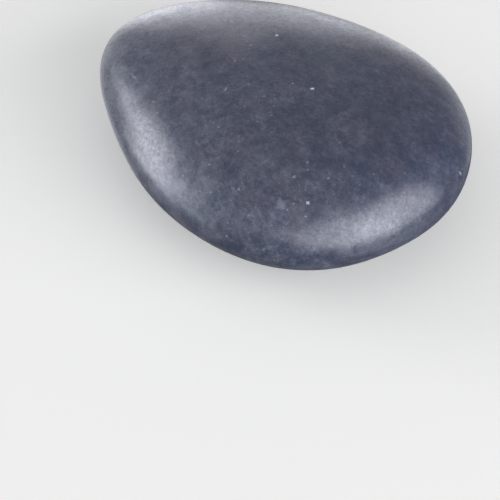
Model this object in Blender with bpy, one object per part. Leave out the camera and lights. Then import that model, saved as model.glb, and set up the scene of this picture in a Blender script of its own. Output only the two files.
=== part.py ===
"""River pebble: one water-worn stone with a rounded, three-sided outline, a low crown and a worn flat below.

Metres, +Z up. The origin is under the middle of the stone, on the surface that it rests on.
The broad end points along +X and the narrow end along -X.
"""

from math import asin, atan2, cos, pi, radians, sin, sqrt

import bmesh
import bpy

# The outline seen from above.
LENGTH = 0.080
WIDTH = 0.063
# Each row of lobes: how many go round, their height as a share of the radius,
# and the direction of a crest in degrees.
OUTLINE_LOBES = (
    (3, 0.048, 183),  # three soft corners, one of them the narrow end
    (4, 0.008, 12),  # a blunter broad end
    (5, 0.004, -18),  # one shoulder fuller than the other
    (6, 0.006, 12),  # flatter long sides
)
OUTLINE_SAMPLES = 720

# The girdle is the widest line round the stone, and the crown rises from it.
GIRDLE_HEIGHT = 0.0122
CROWN_HEIGHT = 0.0136
# How much the crown rises along X and along Y.
CROWN_SLOPE_X = 0.035
CROWN_SLOPE_Y = -0.065
# The crown's profile: 2 is an ellipse, and more is flatter on top and fuller at the rim.
CROWN_POWER = 2.4
# What the profile gains at the broad end and loses at the narrow end.
CROWN_POWER_AT_ENDS = 0.5

# The underside is half an ellipsoid that would dip below the ground by this much, and is worn flat there.
UNDERSIDE_DIP = 0.0020
# Heights within this of the ground are blended into the flat.
WEAR_BLEND = 0.0006

# Dark grey, slightly blue stone with a satin polish.
STONE_COLOUR = (0.048, 0.053, 0.084, 1.0)
STONE_ROUGHNESS = 0.32
STONE_METALLIC = 0.0

# Four subdivisions of an icosahedron, counted from one for the icosahedron itself.
MESH_LEVEL = 5


def clear_scene():
    for obj in list(bpy.data.objects):
        bpy.data.objects.remove(obj, do_unlink=True)


def lobed_radius(turn):
    """The outline's radius at an angle, as a share of the mean radius."""
    radius = 1.0
    for count, height, crest in OUTLINE_LOBES:
        radius += height * cos(count * (turn - radians(crest)))
    return radius


def outline_axis(direction, size):
    """The middle of the lobed circle along an axis, and the stretch that makes it as long there as size."""
    reach = []
    for step in range(OUTLINE_SAMPLES):
        turn = 2 * pi * step / OUTLINE_SAMPLES
        reach.append(lobed_radius(turn) * direction(turn))
    low = min(reach)
    high = max(reach)
    return (low + high) / 2, size / (high - low)


def crown_point(turn, rise):
    """Radius share and height share of the crown, where rise is the angle above the girdle."""
    radius = max(cos(rise), 0.0) ** (2 / CROWN_POWER)
    power = CROWN_POWER + CROWN_POWER_AT_ENDS * radius * cos(turn)
    return radius, sqrt(max(1 - radius**power, 0.0))


def worn_height(height):
    """A height with all that lies near or below the ground worn to a flat at zero."""
    if height <= -WEAR_BLEND:
        return 0.0
    if height >= WEAR_BLEND:
        return height
    return (height + WEAR_BLEND) ** 2 / (4 * WEAR_BLEND)


def stone_point(direction, middle_x, stretch_x, middle_y, stretch_y):
    """The point of the stone's surface that a direction from the middle of a ball stands for."""
    turn = atan2(direction.y, direction.x)
    rise = asin(max(-1.0, min(1.0, direction.z)))
    if rise >= 0:
        radius, lift = crown_point(turn, rise)
    else:
        radius, lift = cos(rise), sin(rise)
    reach = radius * lobed_radius(turn)
    x = (reach * cos(turn) - middle_x) * stretch_x
    y = (reach * sin(turn) - middle_y) * stretch_y
    if rise >= 0:
        z = GIRDLE_HEIGHT + (CROWN_HEIGHT + CROWN_SLOPE_X * x + CROWN_SLOPE_Y * y) * lift
    else:
        z = worn_height(GIRDLE_HEIGHT + (GIRDLE_HEIGHT + UNDERSIDE_DIP) * lift)
    return x, y, z


def stone_mesh():
    """A ball of even triangles, with each corner moved to the stone's surface."""
    middle_x, stretch_x = outline_axis(cos, LENGTH)
    middle_y, stretch_y = outline_axis(sin, WIDTH)
    shape = bmesh.new()
    bmesh.ops.create_icosphere(shape, subdivisions=MESH_LEVEL, radius=1.0)
    for corner in shape.verts:
        corner.co = stone_point(corner.co, middle_x, stretch_x, middle_y, stretch_y)
    mesh = bpy.data.meshes.new("pebble")
    shape.to_mesh(mesh)
    shape.free()
    mesh.shade_smooth()
    return mesh


def stone_material():
    material = bpy.data.materials.new("polished_stone")
    material.use_nodes = True
    surface = material.node_tree.nodes["Principled BSDF"]
    surface.inputs["Base Color"].default_value = STONE_COLOUR
    surface.inputs["Roughness"].default_value = STONE_ROUGHNESS
    surface.inputs["Metallic"].default_value = STONE_METALLIC
    material.diffuse_color = STONE_COLOUR
    return material


def add_pebble():
    pebble = bpy.data.objects.new("pebble", stone_mesh())
    pebble.data.materials.append(stone_material())
    bpy.context.scene.collection.objects.link(pebble)
    return pebble


clear_scene()
add_pebble()
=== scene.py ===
"""Looks of the river pebble: its fine relief, its dark speckled stone with a satin polish, and a pale studio.

Metres, +Z up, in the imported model's frame: the stone rests on the floor at the origin.
"""

from math import cos, hypot, pi, radians, sin, tan

import bmesh
import bpy
import numpy as np
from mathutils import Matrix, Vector, noise


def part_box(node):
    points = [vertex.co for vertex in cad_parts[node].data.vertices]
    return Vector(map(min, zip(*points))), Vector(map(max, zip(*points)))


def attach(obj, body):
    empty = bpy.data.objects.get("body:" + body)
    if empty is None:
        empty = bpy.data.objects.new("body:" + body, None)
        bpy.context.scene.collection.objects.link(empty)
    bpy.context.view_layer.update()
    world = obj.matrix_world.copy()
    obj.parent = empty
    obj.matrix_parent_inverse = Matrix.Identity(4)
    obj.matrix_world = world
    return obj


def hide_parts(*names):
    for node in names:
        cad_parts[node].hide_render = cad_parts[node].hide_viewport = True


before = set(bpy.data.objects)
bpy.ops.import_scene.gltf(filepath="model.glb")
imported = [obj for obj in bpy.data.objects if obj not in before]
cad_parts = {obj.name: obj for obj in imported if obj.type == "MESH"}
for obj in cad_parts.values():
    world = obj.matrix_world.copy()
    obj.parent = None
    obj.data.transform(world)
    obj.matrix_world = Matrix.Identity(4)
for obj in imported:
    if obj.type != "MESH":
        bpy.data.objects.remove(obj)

MM = 0.001

# The stone's form, as in the solid that this piece stands for. Each row of lobes: how many go round,
# their height as a share of the radius, and the direction of a crest in degrees.
OUTLINE_LOBES = (
    (3, 0.048, 183),  # three soft corners, one of them the narrow end
    (4, 0.008, 12),  # a blunter broad end
    (5, 0.004, -18),  # one shoulder fuller than the other
    (6, 0.006, 12),  # flatter long sides
)
OUTLINE_SAMPLES = 721
# The girdle is the widest line round the stone, and the crown rises from it.
GIRDLE_HEIGHT = 0.0122
CROWN_HEIGHT = 0.0136
# How much the crown rises along X and along Y.
CROWN_SLOPE_X = 0.035
CROWN_SLOPE_Y = -0.065
# The crown's profile: 2 is an ellipse, and more is flatter on top and fuller at the rim.
CROWN_POWER = 2.4
# What the profile gains at the broad end and loses at the narrow end.
CROWN_POWER_AT_ENDS = 0.5
# The underside is half an ellipsoid that would dip below the ground by this much, and is worn flat there.
UNDERSIDE_DIP = 0.0020
# Heights within this of the ground are blended into the flat.
WEAR_BLEND = 0.0006

# The mesh is a ball made from a cube, each of whose edges has this many cuts.
GRID_CUTS = 127
# The relief that water wears into the stone: how wide the swells are, how deep the hollows, and where
# in the noise each kind starts.
RELIEF = (
    (0.0170, 0.00016, 3.0),  # broad, gentle swells
    (0.0070, 0.00004, 11.0),  # smaller unevenness
    (0.0025, 0.000012, 29.0),  # the skin's last ripple
)
# The worn flat has no relief, which comes in over this height above the ground.
RELIEF_FADE = 0.0020

# Every noise lies about this middle. It is given by the size of its largest blotches, how many times they
# halve, and how much each halving weighs against the one before. The range beside it is what is used of it.
NOISE_MIDDLE = 0.5

# Colours of the stone, from its bluest to its brownest patches, and of dust.
BLUE_GREY = (0.042, 0.053, 0.088)
BROWN_GREY = (0.051, 0.054, 0.087)
DUSTY = (0.150, 0.151, 0.178)
PATCH_NOISE = (9.0 * MM, 4.0, 0.7)
PATCH_RANGE = (0.38, 0.62)
# The mottling: the darkest value of its noise that is used, how much colour it adds for a whole step of
# the noise about its middle, and how much faster it adds colour where it is pale than where it is dark.
MOTTLE_NOISE = (4.3 * MM, 5.0, 0.95)
MOTTLE_FLOOR = 0.38
MOTTLE_COLOUR = (0.256, 0.267, 0.310)
MOTTLE_SKEW = 4.5
# One side of the stone is plainer and the other more mottled and grainy: where along Y each begins, how
# strong the mottling is on the two, and how much of the dust and grain is left on the plainer one.
PLAIN_SIDE = 4.0 * MM
GRAINY_SIDE = -20.0 * MM
MOTTLE_ON_SIDES = (0.75, 1.1)
PLAIN_GRAIN = 0.25
# Tiny pale grains, one in each cell whose random number is in this range. The larger the number, the
# larger the grain, up to this reach from the cell's point, and its edge is this soft. Both are shares of
# the spacing.
GRAIN_SPACING = 0.71 * MM
GRAIN_CHANCE = (0.45, 1.0)
GRAIN_REACH = 0.40
GRAIN_EDGE = 0.30
# How strongly the grains show outside the dusty clusters and in the middle of one.
GRAIN_STRENGTH = (0.015, 0.34)
PALE_GRAIN = (0.78, 0.81, 0.90)
# The colour of the dark marks. In the crease it is painted shade.
DARK_GRAIN_AND_SHADE = (0.012, 0.014, 0.027)
# The faint clusters all over the stone, and how far the colour goes towards dust at a strength of 1.
CLUSTER_NOISE = (4.0 * MM, 3.0, 0.6)
CLUSTER_RANGE = (0.46, 0.66)
CLUSTER_DUST = 0.32
# The clusters that stand out on the crown, seen from above: x, y and radius in millimetres, and how
# dusty each is.
CLUSTERS = (
    (-17.3, 0.0, 4.0, 1.8),  # a dusty streak towards the far side
    (-12.2, 2.2, 4.4, 2.6),
    (-8.8, -1.5, 3.0, 1.3),
    (-1.8, -11.5, 1.8, 0.8),
    (-6.5, -17.2, 2.0, 1.0),
    (-2.8, -19.8, 1.8, 1.0),
    (3.6, -20.1, 1.1, 0.8),
    (9.4, -20.1, 1.5, 1.0),
    (12.6, -19.5, 1.5, 0.9),
    (21.5, -19.3, 1.8, 1.0),
    (24.8, -21.9, 1.6, 1.0),
    (28.2, -11.5, 2.0, 0.5),
    (21.3, -1.1, 1.5, 0.8),
    (4.3, -7.5, 1.4, 0.7),
)
# They fade in from the first share of the radius to the second.
CLUSTER_FADE = (1.6, 0.2)

# Single marks on the crown, seen from above: the two ends in x and y, half the width across, all in
# millimetres, and how far the colour goes towards the pale grain or, if negative, the dark colour, which in
# the crease is painted shade.
MARKS = (
    ((-7.7, 7.7), (-7.7, 7.7), 0.27, 0.95),  # three bright grains
    ((9.1, 0.4), (9.3, 0.4), 0.26, 1.00),
    ((27.2, -19.0), (27.4, -18.8), 0.27, 0.60),
    ((5.6, -1.3), (5.6, -1.3), 0.20, 0.30),  # fainter grains round them
    ((-7.0, -4.2), (-7.0, -4.2), 0.20, 0.30),
    ((-11.8, 2.9), (-11.8, 2.9), 0.20, 0.25),
    ((22.3, -17.5), (22.3, -17.5), 0.24, 0.25),
    ((15.8, -25.4), (15.8, -25.4), 0.20, 0.25),
    ((25.3, -22.2), (25.3, -22.2), 0.20, 0.25),
    ((23.1, -14.7), (23.1, -14.7), 0.20, 0.20),
    ((22.0, -13.8), (22.0, -13.8), 0.20, 0.20),
    ((26.7, -13.1), (26.7, -13.1), 0.20, 0.20),
    ((24.5, -27.5), (24.5, -27.5), 0.20, 0.20),
    ((17.4, -30.1), (17.4, -30.1), 0.20, 0.20),
    ((-2.7, -10.6), (-2.2, -11.3), 0.22, 0.22),
    ((4.3, -8.0), (4.6, -7.6), 0.20, 0.16),
    ((3.8, -18.7), (3.8, -18.7), 0.22, 0.20),
    ((-23.1, -16.4), (-20.6, -17.2), 0.22, 0.16),  # two short scratches
    ((36.7, 11.7), (37.1, 12.1), 0.22, 0.30),
    ((19.0, -23.1), (22.6, -22.0), 0.30, -0.20),  # a faint crease, painted as a dark line of shade, with a pale blotch beside it
    ((21.6, -22.3), (23.9, -21.3), 0.30, -0.35),
    ((23.6, -21.3), (26.2, -19.9), 0.36, -0.42),
    ((23.2, -22.3), (24.4, -22.5), 0.70, 0.10),
    ((8.0, -10.0), (11.5, -7.6), 1.10, -0.25),  # dark smudges
    ((0.5, -12.9), (0.9, -12.5), 1.10, -0.15),
    ((28.0, -3.0), (32.0, 1.5), 3.00, -0.12),
    ((-2.8, -15.0), (3.1, -21.9), 1.40, -0.11),
    ((3.0, -17.2), (10.5, -19.8), 1.20, -0.10),
    ((13.6, -22.9), (16.7, -25.0), 1.40, -0.16),
    ((6.5, -23.9), (10.7, -26.3), 1.20, -0.10),
    ((25.7, -12.7), (32.3, -15.7), 1.50, -0.18),
    ((24.1, -1.5), (24.1, -1.5), 1.10, -0.20),
    ((18.3, -11.5), (18.3, -11.5), 1.20, -0.15),
    ((20.5, -26.4), (20.5, -26.4), 1.00, -0.15),
    ((1.1, -14.5), (1.1, -14.5), 1.40, 0.010),  # pale smudges
    ((27.5, -19.9), (27.5, -19.9), 1.20, 0.012),
    ((34.1, -16.7), (34.1, -16.7), 1.00, 0.015),
    ((15.1, -27.6), (16.5, -28.2), 1.30, 0.008),
)
# They fade in from the first share of the half-width to the second.
MARK_FADE = (1.5, 0.5)

# The edges of the clusters and the marks are ragged: the noise that moves them, and how far.
CLUSTER_WANDER = (4.0 * MM, 3.0, 0.7, 7.0 * MM)
MARK_WANDER = (0.60 * MM, 3.0, 0.7, 1.1 * MM)

# The worn stone: its roughness from the smoothest to the dullest spots of its skin, and the skin's depth.
ROUGHNESS = (0.25, 0.37)
REFRACTION = 1.50
SKIN_NOISE = (0.60 * MM, 3.0, 0.9)
SKIN_RANGE = (0.3, 0.7)
SKIN_DEPTH = 0.010 * MM
# Broader patches that are a little duller or glossier.
WEAR_NOISE = (4.0 * MM, 2.0, 0.5)
WEAR_RANGE = (0.35, 0.65)
WEAR_DULLNESS = 0.05
# The polish over the stone, which the finest pores break, and how much of it is left in the pores and
# between them.
POLISH_ROUGHNESS = 0.30
POLISH_REFRACTION = 1.75
PORE_NOISE = (0.85 * MM, 3.0, 1.0)
PORE_RANGE = (0.37, 0.63)
POLISH_LEFT = (0.15, 0.87)

# The camera stands where the photograph was taken from. A pixel spans this much of the scene at the
# stone's distance.
IMAGE_PIXELS = 500
PIXEL_SIZE = 0.1945 * MM
CAMERA_AZIMUTH = 45
CAMERA_ELEVATION = 43
CAMERA_DISTANCE = 0.65
# The middle of the picture, measured from the stone's origin to the right and up across the view.
PICTURE_RIGHT = -4.92 * MM
PICTURE_UP = -16.14 * MM
SENSOR_WIDTH = 36.0
CLIP_START = 0.01

# The floor lies a hair below the stone and glows faintly.
FLOOR_SIZE = 6.0
FLOOR_DROP = 0.00005
FLOOR_COLOUR = (0.92, 0.91, 0.83)
FLOOR_ROUGHNESS = 0.9
FLOOR_GLOW = 0.17

# The light above the horizon and in most of the fainter panels.
LIGHT_COLOUR = (0.978, 0.992, 1.090)
# The light in the four brightest panels, which make the highlights.
PANEL_LIGHT = (0.978, 0.995, 1.068)
# The light in the fainter panels on the left.
BLUE_LIGHT = (0.930, 1.000, 1.180)
# The light below the horizon, and in the lowest panel on the right.
WARM_LIGHT = (1.000, 1.000, 0.960)
# Upright panels of light round the stone. Azimuths run from +X towards +Y, and all angles are in degrees
# as seen from the stone: the azimuth, half the width, the bottom and the top, and then the brightness and
# the colour. The photographed stone lies high above its table, so its panels reach below its own horizon
# and no floor shows in its reflections.
PANEL_DISTANCE = 1.5
PANELS = (
    ("right_panel", 1, 41, -14, 42, 2.60, PANEL_LIGHT),
    ("right_middle", 2, 12, -24, 25, 2.2, PANEL_LIGHT),
    ("right_tail", 306, 21, 0, 22, 0.95, LIGHT_COLOUR),
    ("right_foot", 10, 30, -55, -25, 0.36, WARM_LIGHT),
    ("left_panel", 205, 14, 5, 27, 4.00, PANEL_LIGHT),
    ("low_left_panel", 216, 13, -19, 10, 3.35, PANEL_LIGHT),
    ("left_tail", 233, 13, -26, 17, 1.50, BLUE_LIGHT),
    ("left_foot", 224, 24, -52, -18, 0.15, BLUE_LIGHT),
    ("left_rim", 184, 8, -50, -12, 0.08, BLUE_LIGHT),
    ("back_panel", 158, 21, -48, -2, 0.55, LIGHT_COLOUR),
    ("back_right", 125, 8, -48, -2, 0.60, LIGHT_COLOUR),
    ("back_middle", 140, 14, -14, 13, 1.07, LIGHT_COLOUR),
    ("back_end", 146, 8, -26, 0, 0.70, LIGHT_COLOUR),
    ("right_back_panel", 105, 21, -36, 2, 0.41, LIGHT_COLOUR),
)

# The pale room: its brightness at the horizon, which is greater on one side, overhead and underneath, and
# how fast it changes from the horizon on. The camera sees a plain backdrop in its place.
ROOM_HORIZON = 0.34
ROOM_BRIGHT_AZIMUTH = 230
ROOM_BRIGHT_SIDE = 0.79
ROOM_TOP = 0.64
ROOM_TOP_FALL = 0.3
ROOM_BOTTOM = 0.13
ROOM_BOTTOM_FALL = 3.1
BACKDROP = 0.86


def lobed_radius(turn):
    """The outline's radius at each angle, as a share of the mean radius."""
    radius = np.ones_like(turn)
    for count, height, crest in OUTLINE_LOBES:
        radius += height * np.cos(count * (turn - radians(crest)))
    return radius


def outline_axis(function, size):
    """The middle of the lobed circle along an axis, and the stretch that makes it as long there as size."""
    turn = np.linspace(0, 2 * pi, OUTLINE_SAMPLES)
    reach = lobed_radius(turn) * function(turn)
    return (reach.min() + reach.max()) / 2, size / (reach.max() - reach.min())


def worn_height(height):
    """Heights with all that lies near or below the ground worn to a flat at zero."""
    blended = (height + WEAR_BLEND) ** 2 / (4 * WEAR_BLEND)
    return np.where(height <= -WEAR_BLEND, 0.0, np.where(height >= WEAR_BLEND, height, blended))


def stone_points(directions, size):
    """The points of the stone's surface that directions from the middle of a ball stand for."""
    middle_x, stretch_x = outline_axis(np.cos, size.x)
    middle_y, stretch_y = outline_axis(np.sin, size.y)
    turn = np.arctan2(directions[:, 1], directions[:, 0])
    rise = np.arcsin(np.clip(directions[:, 2], -1, 1))
    above = rise >= 0
    level = np.clip(np.cos(rise), 0, 1)
    radius = np.where(above, level ** (2 / CROWN_POWER), level)
    power = CROWN_POWER + CROWN_POWER_AT_ENDS * radius * np.cos(turn)
    lift = np.where(above, np.sqrt(np.clip(1 - radius**power, 0, 1)), np.sin(rise))
    reach = radius * lobed_radius(turn)
    x = (reach * np.cos(turn) - middle_x) * stretch_x
    y = (reach * np.sin(turn) - middle_y) * stretch_y
    crown = GIRDLE_HEIGHT + (CROWN_HEIGHT + CROWN_SLOPE_X * x + CROWN_SLOPE_Y * y) * lift
    underside = worn_height(GIRDLE_HEIGHT + (GIRDLE_HEIGHT + UNDERSIDE_DIP) * lift)
    return np.stack((x, y, np.where(above, crown, underside)), axis=1)


def relief_depth(point):
    """How far the surface lies below the smooth form at a point, never less than nothing."""
    depth = 0.0
    for width, deepest, seed in RELIEF:
        place = point / width + Vector((seed, seed, seed))
        depth += deepest * (0.5 - 0.5 * noise.noise(place))
    return depth * min(1.0, point.z / RELIEF_FADE)


def corners(mesh):
    points = np.empty(len(mesh.vertices) * 3)
    mesh.vertices.foreach_get("co", points)
    return points.reshape(-1, 3)


def place_corners(mesh, points):
    mesh.vertices.foreach_set("co", points.ravel())
    mesh.update()


def make_stone(low, high):
    """The stone's surface as a fine mesh with its relief, in the box of the solid that it stands for."""
    shape = bmesh.new()
    bmesh.ops.create_cube(shape, size=2.0)
    bmesh.ops.subdivide_edges(shape, edges=shape.edges[:], cuts=GRID_CUTS, use_grid_fill=True)
    mesh = bpy.data.meshes.new("pebble_surface")
    shape.to_mesh(mesh)
    shape.free()
    # The tangent spreads the cube's grid about evenly over the ball.
    directions = np.tan(corners(mesh) * (pi / 4))
    directions /= np.linalg.norm(directions, axis=1, keepdims=True)
    place_corners(mesh, stone_points(directions, high - low))
    moved = [corner.co - corner.normal * relief_depth(corner.co) for corner in mesh.vertices]
    points = np.array([point[:] for point in moved])
    reach = points.max(axis=0) - points.min(axis=0)
    points = (points - points.min(axis=0)) / reach * np.array(high - low) + np.array(low)
    place_corners(mesh, points)
    mesh.shade_smooth()
    stone = bpy.data.objects.new("pebble_surface", mesh)
    bpy.context.scene.collection.objects.link(stone)
    return stone


class Nodes:
    """Short calls that add nodes to a material's or the world's tree and link them up."""

    def __init__(self, tree):
        self.tree = tree

    def feed(self, socket, value):
        if isinstance(value, bpy.types.NodeSocket):
            self.tree.links.new(value, socket)
        else:
            socket.default_value = value

    def math(self, operation, *values):
        node = self.tree.nodes.new("ShaderNodeMath")
        node.operation = operation
        for socket, value in zip(node.inputs, values):
            self.feed(socket, value)
        return node.outputs[0]

    def vector(self, operation, *values, output=0):
        node = self.tree.nodes.new("ShaderNodeVectorMath")
        node.operation = operation
        for socket, value in zip(node.inputs, values):
            self.feed(socket, value)
        return node.outputs[output]

    def scaled(self, vector, factor):
        """A vector or colour times a number."""
        node = self.tree.nodes.new("ShaderNodeVectorMath")
        node.operation = "SCALE"
        self.feed(node.inputs["Vector"], vector)
        self.feed(node.inputs["Scale"], factor)
        return node.outputs["Vector"]

    def noise(self, place, size, halvings, weight, output="Fac"):
        node = self.tree.nodes.new("ShaderNodeTexNoise")
        self.feed(node.inputs["Vector"], place)
        node.inputs["Scale"].default_value = 1 / size
        node.inputs["Detail"].default_value = halvings
        node.inputs["Roughness"].default_value = weight
        return node.outputs[output]

    def between(self, value, low, high, to_low=0.0, to_high=1.0):
        """value carried from low..high to to_low..to_high, held at the ends."""
        node = self.tree.nodes.new("ShaderNodeMapRange")
        node.clamp = True
        for name, number in zip(("From Min", "From Max", "To Min", "To Max"), (low, high, to_low, to_high)):
            node.inputs[name].default_value = number
        self.feed(node.inputs["Value"], value)
        return node.outputs["Result"]

    def mix(self, share, first, second):
        node = self.tree.nodes.new("ShaderNodeMix")
        node.data_type = "RGBA"
        self.feed(node.inputs["Factor"], share)
        self.feed(node.inputs["A"], first)
        self.feed(node.inputs["B"], second)
        return node.outputs["Result"]


def wandering(nodes, place, size, halvings, weight, distance):
    """The place moved about by up to a distance, so that what is drawn there gets ragged edges."""
    drift = nodes.noise(place, size, halvings, weight, output="Color")
    drift = nodes.vector("SUBTRACT", drift, (NOISE_MIDDLE, NOISE_MIDDLE, NOISE_MIDDLE))
    return nodes.vector("ADD", place, nodes.scaled(drift, distance))


def on_crown(stone, x, y):
    """The point of the stone's upper side over a point given in millimetres."""
    high_up = Vector((x * MM, y * MM, 1.0))
    hit, point, _, _ = stone.ray_cast(high_up, Vector((0, 0, -1)))
    return point if hit else Vector((x * MM, y * MM, 0))


def add_marks(nodes, place, colour, stone):
    """The colour with the single marks on it, each an ellipse drawn round its two ends."""
    for start, end, half_width, strength in MARKS:
        ends = [on_crown(stone, *point) for point in (start, end)]
        half_length = (ends[1] - ends[0]).length / 2
        reach = nodes.math("ADD", *[nodes.vector("DISTANCE", place, point, output=1) for point in ends])
        outer, inner = [2 * hypot(half_length, half_width * MM * share) for share in MARK_FADE]
        share = nodes.between(reach, outer, inner, 0.0, abs(strength))
        # A mark with a negative strength goes dark. In the crease that dark is painted shade.
        grain = PALE_GRAIN if strength > 0 else DARK_GRAIN_AND_SHADE
        colour = nodes.mix(share, colour, (*grain, 1))
    return colour


def cluster_strength(nodes, place, side, stone):
    """How dusty a place is, from 0 outside the clusters to about 1, or more, in the middle of one."""
    cluster = nodes.between(nodes.noise(place, *CLUSTER_NOISE), *CLUSTER_RANGE)
    cluster = nodes.math("MULTIPLY", cluster, nodes.between(side, 0.0, 1.0, PLAIN_GRAIN, 1.0))
    drifting = wandering(nodes, place, *CLUSTER_WANDER)
    for x, y, radius, strength in CLUSTERS:
        reach = nodes.vector("DISTANCE", drifting, on_crown(stone, x, y), output=1)
        outer, inner = [share * radius * MM for share in CLUSTER_FADE]
        cluster = nodes.math("MAXIMUM", cluster, nodes.between(reach, outer, inner, 0.0, strength))
    return cluster


def add_clusters(nodes, place, colour, cluster):
    """The colour with dust and tiny pale grains on it, which are stronger in the clusters."""
    colour = nodes.mix(nodes.math("MULTIPLY", cluster, CLUSTER_DUST), colour, (*DUSTY, 1))
    cells = nodes.tree.nodes.new("ShaderNodeTexVoronoi")
    nodes.feed(cells.inputs["Vector"], place)
    cells.inputs["Scale"].default_value = 1 / GRAIN_SPACING
    chance = nodes.vector("DOT_PRODUCT", cells.outputs["Color"], (1, 0, 0), output=1)
    reach = nodes.between(chance, *GRAIN_CHANCE, 0.0, GRAIN_REACH)
    grain = nodes.between(nodes.math("SUBTRACT", reach, cells.outputs["Distance"]), 0.0, GRAIN_EDGE)
    share = nodes.math("MULTIPLY", grain, nodes.between(cluster, 0.0, 1.0, *GRAIN_STRENGTH))
    return nodes.mix(share, colour, (*PALE_GRAIN, 1))


def stone_colour(nodes, place, stone):
    """The stone's patches and mottling with the clusters and marks on them."""
    patches = nodes.between(nodes.noise(place, *PATCH_NOISE), *PATCH_RANGE)
    colour = nodes.mix(patches, (*BLUE_GREY, 1), (*BROWN_GREY, 1))
    across = nodes.vector("DOT_PRODUCT", place, (0, 1, 0), output=1)
    side = nodes.between(across, PLAIN_SIDE, GRAINY_SIDE)
    mottle = nodes.math("MAXIMUM", nodes.noise(place, *MOTTLE_NOISE), MOTTLE_FLOOR)
    mottle = nodes.math("SUBTRACT", mottle, NOISE_MIDDLE)
    tone = nodes.math("MULTIPLY", mottle, nodes.math("MULTIPLY_ADD", mottle, MOTTLE_SKEW, 1.0))
    tone = nodes.math("MULTIPLY", tone, nodes.between(side, 0.0, 1.0, *MOTTLE_ON_SIDES))
    colour = nodes.vector("ADD", colour, nodes.scaled(MOTTLE_COLOUR, tone))
    colour = add_clusters(nodes, place, colour, cluster_strength(nodes, place, side, stone))
    return add_marks(nodes, wandering(nodes, place, *MARK_WANDER), colour, stone)


def stone_material(stone):
    """Dark speckled stone with a skin of fine grain, under a satin polish that pores break."""
    material = bpy.data.materials.new("polished_stone")
    material.use_nodes = True
    tree = material.node_tree
    surface = tree.nodes["Principled BSDF"].inputs
    nodes = Nodes(tree)
    place = tree.nodes.new("ShaderNodeTexCoord").outputs["Object"]
    nodes.feed(surface["Base Color"], stone_colour(nodes, place, stone))
    skin = nodes.noise(place, *SKIN_NOISE)
    wear = nodes.between(nodes.noise(place, *WEAR_NOISE), *WEAR_RANGE, -WEAR_DULLNESS, WEAR_DULLNESS)
    roughness = nodes.math("ADD", wear, nodes.between(skin, *SKIN_RANGE, *ROUGHNESS))
    nodes.feed(surface["Roughness"], roughness)
    nodes.feed(surface["IOR"], REFRACTION)
    polish = nodes.between(nodes.noise(place, *PORE_NOISE), *PORE_RANGE, *POLISH_LEFT)
    nodes.feed(surface["Coat Weight"], polish)
    nodes.feed(surface["Coat Roughness"], POLISH_ROUGHNESS)
    nodes.feed(surface["Coat IOR"], POLISH_REFRACTION)
    bump = tree.nodes.new("ShaderNodeBump")
    nodes.feed(bump.inputs["Distance"], SKIN_DEPTH)
    nodes.feed(bump.inputs["Height"], skin)
    nodes.feed(surface["Normal"], bump.outputs["Normal"])
    return material


def add_floor():
    """A pale floor that only the camera sees, so that it neither lights the stone nor shows in it."""
    bpy.ops.mesh.primitive_plane_add(size=FLOOR_SIZE, location=(0, 0, -FLOOR_DROP))
    floor = bpy.context.object
    floor.name = "studio_floor"
    material = bpy.data.materials.new("pale_floor")
    material.use_nodes = True
    surface = material.node_tree.nodes["Principled BSDF"]
    surface.inputs["Base Color"].default_value = (*FLOOR_COLOUR, 1)
    surface.inputs["Roughness"].default_value = FLOOR_ROUGHNESS
    surface.inputs["Emission Color"].default_value = (1, 1, 1, 1)
    surface.inputs["Emission Strength"].default_value = FLOOR_GLOW
    floor.data.materials.append(material)
    floor.visible_glossy = False
    floor.visible_diffuse = False
    floor.visible_shadow = False


def add_panel(name, azimuth, half_width, bottom, top, brightness, colour):
    """An upright rectangle of light that faces the stone."""
    width = 2 * PANEL_DISTANCE * tan(radians(half_width))
    low, high = [PANEL_DISTANCE * tan(radians(angle)) for angle in (bottom, top)]
    light = bpy.data.lights.new(name, "AREA")
    light.shape = "RECTANGLE"
    light.size = width
    light.size_y = high - low
    light.color = colour
    light.energy = brightness * pi * light.size * light.size_y
    panel = bpy.data.objects.new(name, light)
    outward = Vector((cos(radians(azimuth)), sin(radians(azimuth)), 0))
    panel.location = outward * PANEL_DISTANCE + Vector((0, 0, (low + high) / 2))
    panel.rotation_euler = outward.to_track_quat("Z", "Y").to_euler()
    panel.visible_camera = False
    bpy.context.scene.collection.objects.link(panel)


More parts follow.
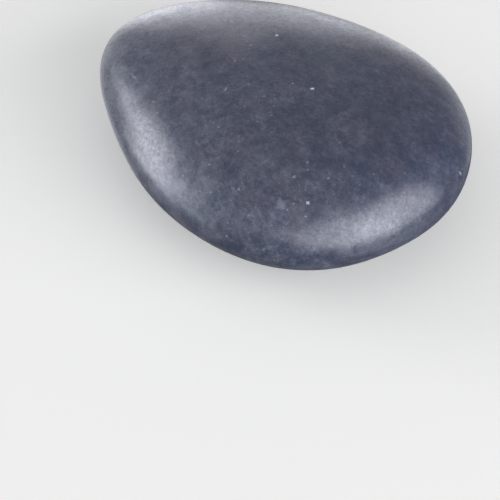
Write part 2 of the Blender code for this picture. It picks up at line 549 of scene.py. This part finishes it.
def add_room():
    """A pale room that reflections show, and a plain backdrop in its place that the camera sees."""
    world = bpy.data.worlds.new("studio")
    bpy.context.scene.world = world
    world.use_nodes = True
    tree = world.node_tree
    nodes = Nodes(tree)
    way = tree.nodes.new("ShaderNodeTexCoord").outputs["Generated"]
    bright = Vector((cos(radians(ROOM_BRIGHT_AZIMUTH)), sin(radians(ROOM_BRIGHT_AZIMUTH)), 0))
    side = nodes.vector("DOT_PRODUCT", way, bright, output=1)
    horizon = nodes.math("MULTIPLY_ADD", side, ROOM_HORIZON * ROOM_BRIGHT_SIDE, ROOM_HORIZON)
    height = nodes.vector("DOT_PRODUCT", way, (0, 0, 1), output=1)
    halves = []
    for end, fall in ((ROOM_TOP, -ROOM_TOP_FALL), (ROOM_BOTTOM, ROOM_BOTTOM_FALL)):
        fade = nodes.math("EXPONENT", nodes.math("MULTIPLY", height, fall))
        halves.append(nodes.math("MULTIPLY_ADD", nodes.math("SUBTRACT", horizon, end), fade, end))
    above = nodes.math("GREATER_THAN", height, 0.0)
    room = nodes.mix(above, nodes.scaled(WARM_LIGHT, halves[1]), nodes.scaled(LIGHT_COLOUR, halves[0]))
    seen = tree.nodes.new("ShaderNodeLightPath").outputs["Is Camera Ray"]
    colour = nodes.mix(seen, room, (BACKDROP, BACKDROP, BACKDROP, 1))
    tree.links.new(colour, tree.nodes["Background"].inputs["Color"])


def add_camera():
    """The camera, with its lens such that a pixel at the stone's distance has its set size."""
    azimuth = radians(CAMERA_AZIMUTH)
    elevation = radians(CAMERA_ELEVATION)
    back = Vector((sin(azimuth) * cos(elevation), -cos(azimuth) * cos(elevation), sin(elevation)))
    right = Vector((cos(azimuth), sin(azimuth), 0.0))
    up = back.cross(right)
    eye = back * CAMERA_DISTANCE
    aim = right * PICTURE_RIGHT + up * PICTURE_UP
    data = bpy.data.cameras.new("camera")
    data.sensor_width = SENSOR_WIDTH
    data.lens = SENSOR_WIDTH * CAMERA_DISTANCE / (IMAGE_PIXELS * PIXEL_SIZE)
    data.clip_start = CLIP_START
    camera = bpy.data.objects.new("camera", data)
    camera.location = eye
    camera.rotation_euler = (eye - aim).to_track_quat("Z", "Y").to_euler()
    bpy.context.scene.collection.objects.link(camera)
    bpy.context.scene.camera = camera


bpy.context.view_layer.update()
stone = make_stone(*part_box("pebble"))
bpy.context.view_layer.update()
stone.data.materials.append(stone_material(stone))
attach(stone, "root")
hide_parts("pebble")
add_floor()
for panel in PANELS:
    add_panel(*panel)
add_room()
add_camera()
bpy.context.scene.view_settings.view_transform = "Standard"
